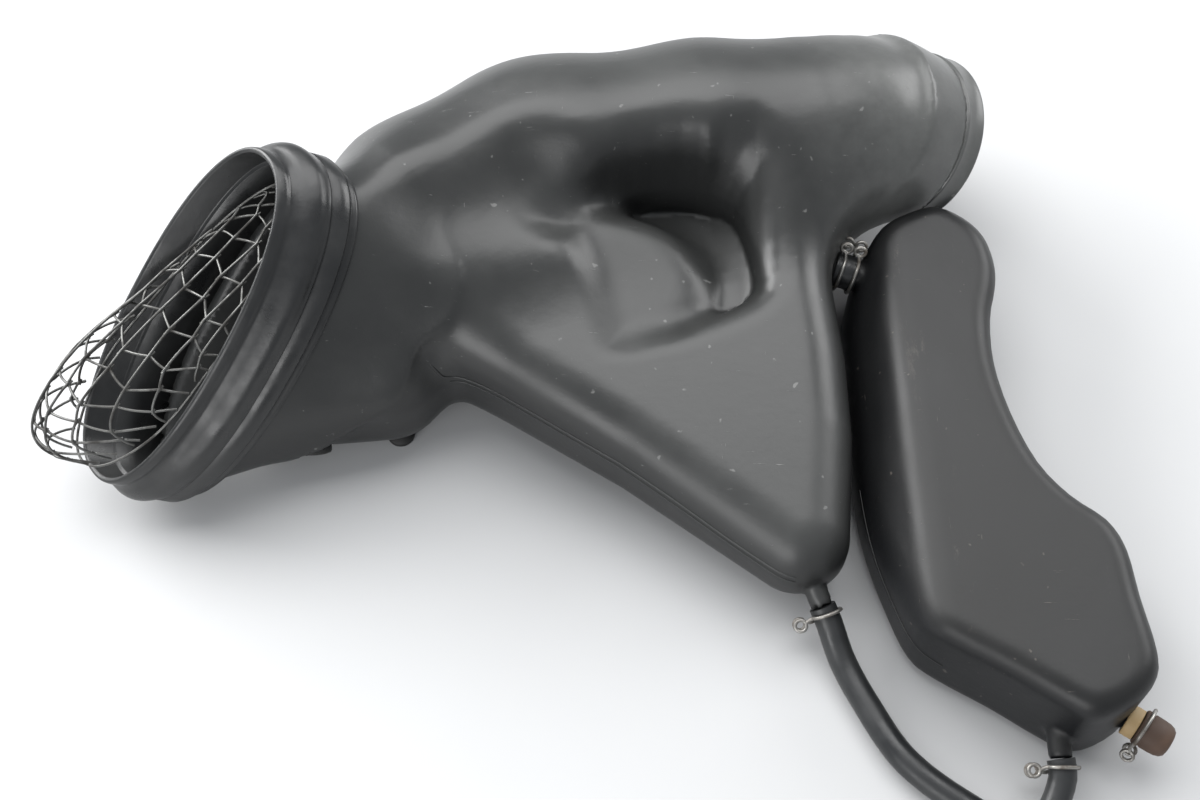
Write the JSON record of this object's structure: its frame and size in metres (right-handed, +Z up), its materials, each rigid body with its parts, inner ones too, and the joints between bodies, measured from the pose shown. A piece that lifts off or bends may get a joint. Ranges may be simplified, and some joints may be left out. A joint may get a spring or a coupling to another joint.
{
  "type": "air intake duct with filter screen",
  "caption": "Blow-moulded motorcycle air intake duct with an oval rubber-sealed mouth, a domed wire screen, a round outlet collar and a side tank joined by a link hose and a drain hose.",
  "frame": {"origin": "centre of the underside of the object's bounding box, without the drain hose, as it lies on a table", "axes": "+Z up from the table, +X from the oval mouth towards the side tank, +Y away from the drain hose"},
  "size_m": [0.4543, 0.3457, 0.1231],
  "materials": {
    "duct_plastic": "semi-gloss black polyethylene, dusty and scuffed",
    "tank_plastic": "semi-gloss black polyethylene, scratched",
    "seal_rubber": "satin moulded rubber",
    "screen_wire": "dull grey steel wire",
    "grommet_rubber": "matt rubber",
    "hose_rubber": "satin rubber hose",
    "clip_wire": "dull spring wire",
    "sleeve_rubber": "aged tan rubber",
    "cap_rubber": "dirty brown rubber"
  },
  "bodies": {
    "duct": {"duct_neck": "duct_plastic", "duct_elbow": "duct_plastic", "duct_middle_upper": "duct_plastic", "duct_middle_lower": "duct_plastic", "duct_shoulder": "duct_plastic", "outlet_collar": "duct_plastic", "mount_grommet": "grommet_rubber", "locating_foot": "grommet_rubber", "link_hose": "hose_rubber", "link_clip_duct": "clip_wire", "link_clip_tank": "clip_wire", "tank_shell": "tank_plastic", "drain_hose": "hose_rubber", "tank_drain_sleeve": "sleeve_rubber"},
    "seal": {"inlet_seal_ring": "seal_rubber"},
    "screen": {"screen_mesh": "screen_wire"},
    "cap": {"drain_cap": "cap_rubber", "drain_cap_clip": "clip_wire"},
    "duct_drain_clip": {"drain_clip_duct": "clip_wire"},
    "tank_drain_clip": {"drain_clip_tank": "clip_wire"}
  },
  "joints": [
    {"name": "seal_pull_off", "type": "slide", "parent": "duct", "child": "seal", "axis": [-0.8517, -0.086, 0.5168], "range_m": [0, 0.035]},
    {"name": "screen_slide", "type": "slide", "parent": "seal", "child": "screen", "axis": [-0.8517, -0.086, 0.5168], "range_m": [0, 0.05]},
    {"name": "cap_pull_off", "type": "slide", "parent": "duct", "child": "cap", "axis": [0.8211, -0.5708, 0], "range_m": [0, 0.025]},
    {"name": "duct_clip_turn", "type": "hinge", "parent": "duct", "child": "duct_drain_clip", "pos_m": [0.09603, -0.09537, 0.01691], "axis": [0.379, -0.7979, -0.4688], "range_deg": [-40, 40]},
    {"name": "tank_clip_turn", "type": "hinge", "parent": "duct", "child": "tank_drain_clip", "pos_m": [0.18271, -0.15841, 0.01532], "axis": [0.0511, -0.9505, -0.3066], "range_deg": [-40, 40]}
  ]
}
